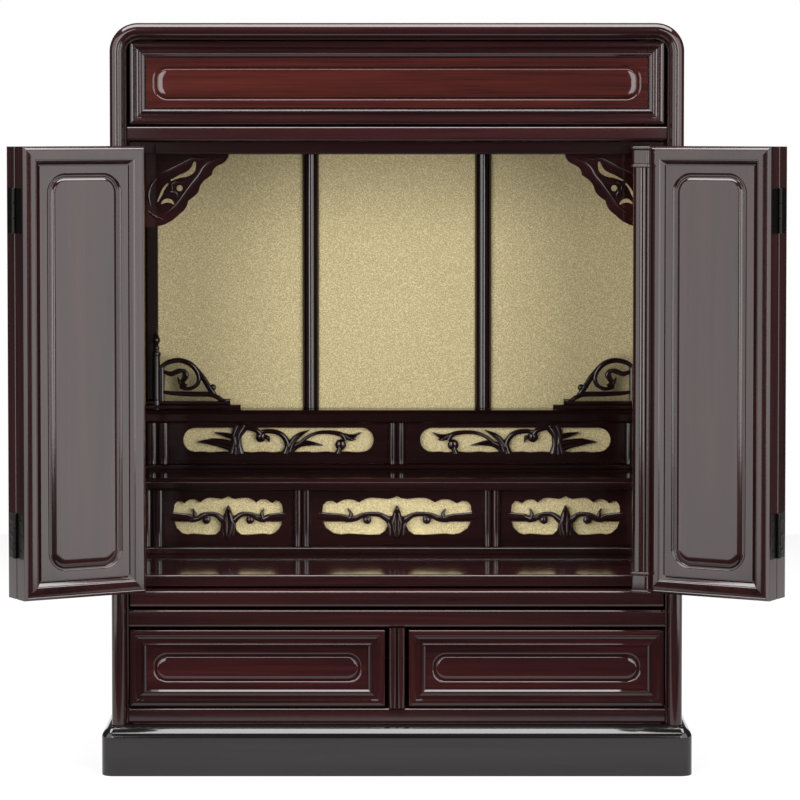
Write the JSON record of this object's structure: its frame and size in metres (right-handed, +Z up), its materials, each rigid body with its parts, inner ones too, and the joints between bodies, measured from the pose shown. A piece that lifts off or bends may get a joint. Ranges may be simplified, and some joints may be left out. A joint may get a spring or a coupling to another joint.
{
  "type": "household altar cabinet",
  "caption": "Tabletop altar cabinet of dark lacquered wood with folding doors, gold back, stepped dais, pierced carvings, pull-out tray and drawers.",
  "frame": {"origin": "middle of the base of the bounding box, doors folded open", "axes": "+X to the cabinet's right as seen from the front, +Y to its back, +Z up; the front faces -Y"},
  "size_m": [0.616, 0.3626, 0.606],
  "materials": {
    "lacquer": "gloss dark lacquer",
    "rosewood": "gloss reddish lacquer with grain",
    "gold": "gold-faced board, fine woven texture",
    "hinge": "dark satin metal"
  },
  "bodies": {
    "cabinet": {"plinth": "lacquer", "case_shell": "lacquer", "front_moulding": "lacquer", "back_board": "lacquer", "fascia_frame": "lacquer", "fascia_panel": "rosewood", "top_rail": "lacquer", "lintel": "lacquer", "ceiling_board": "lacquer", "bottom_rail": "lacquer", "middle_rail": "lacquer", "drawer_post": "lacquer", "altar_floor": "lacquer", "lower_step": "lacquer", "upper_step": "lacquer", "lower_riser_frame": "lacquer", "upper_riser_frame": "lacquer", "lower_gold_board": "gold", "upper_gold_board": "gold", "lower_carving_left": "lacquer", "lower_carving_centre": "lacquer", "lower_carving_right": "lacquer", "upper_carving_left": "lacquer", "upper_carving_right": "lacquer", "back_frame": "lacquer", "gold_back_panel": "gold", "spandrel_left": "lacquer", "spandrel_right": "lacquer", "scroll_rail_left": "lacquer", "scroll_rail_right": "lacquer", "left_lower_jamb_hinge_fixed": "hinge", "left_upper_jamb_hinge_fixed": "hinge", "right_lower_jamb_hinge_fixed": "hinge", "right_upper_jamb_hinge_fixed": "hinge"},
    "left_outer_door": {"left_outer_door_frame": "lacquer", "left_outer_door_panel": "lacquer", "left_lower_jamb_hinge_moving": "hinge", "left_upper_jamb_hinge_moving": "hinge", "left_lower_fold_hinge_fixed": "hinge", "left_upper_fold_hinge_fixed": "hinge"},
    "left_inner_door": {"left_inner_door_frame": "lacquer", "left_inner_door_panel": "lacquer", "left_lower_fold_hinge_moving": "hinge", "left_upper_fold_hinge_moving": "hinge"},
    "right_outer_door": {"right_outer_door_frame": "lacquer", "right_outer_door_panel": "lacquer", "right_lower_jamb_hinge_moving": "hinge", "right_upper_jamb_hinge_moving": "hinge", "right_lower_fold_hinge_fixed": "hinge", "right_upper_fold_hinge_fixed": "hinge"},
    "right_inner_door": {"right_inner_door_frame": "lacquer", "right_inner_door_panel": "lacquer", "meeting_strip": "lacquer", "right_lower_fold_hinge_moving": "hinge", "right_upper_fold_hinge_moving": "hinge"},
    "drawer_left": {"drawer_front_left": "rosewood", "drawer_box_left": "rosewood"},
    "drawer_right": {"drawer_front_right": "rosewood", "drawer_box_right": "rosewood"},
    "tray": {"tray": "lacquer"}
  },
  "joints": [
    {"name": "left_door_hinge", "type": "hinge", "parent": "cabinet", "child": "left_outer_door", "pos_m": [-0.217, -0.09619, 0.3293], "axis": [0, 0, 1], "range_deg": [0, 150]},
    {"name": "left_fold_hinge", "type": "hinge", "parent": "left_outer_door", "child": "left_inner_door", "pos_m": [-0.30054, -0.16728, 0.3293], "axis": [0, 0, -1], "range_deg": [0, 180]},
    {"name": "right_door_hinge", "type": "hinge", "parent": "cabinet", "child": "right_outer_door", "pos_m": [0.217, -0.09619, 0.3293], "axis": [0, 0, -1], "range_deg": [0, 150]},
    {"name": "right_fold_hinge", "type": "hinge", "parent": "right_outer_door", "child": "right_inner_door", "pos_m": [0.30054, -0.16728, 0.3293], "axis": [0, 0, 1], "range_deg": [0, 180]},
    {"name": "drawer_left_slide", "type": "slide", "parent": "cabinet", "child": "drawer_left", "axis": [0, -1, 0], "range_m": [0, 0.17]},
    {"name": "drawer_right_slide", "type": "slide", "parent": "cabinet", "child": "drawer_right", "axis": [0, -1, 0], "range_m": [0, 0.17]},
    {"name": "tray_slide", "type": "slide", "parent": "cabinet", "child": "tray", "axis": [0, -1, 0], "range_m": [0, 0.16]}
  ],
  "couplings": [
    {"joint": "left_fold_hinge", "follows": "left_door_hinge", "ratio": 1.2},
    {"joint": "right_fold_hinge", "follows": "right_door_hinge", "ratio": 1.2}
  ]
}
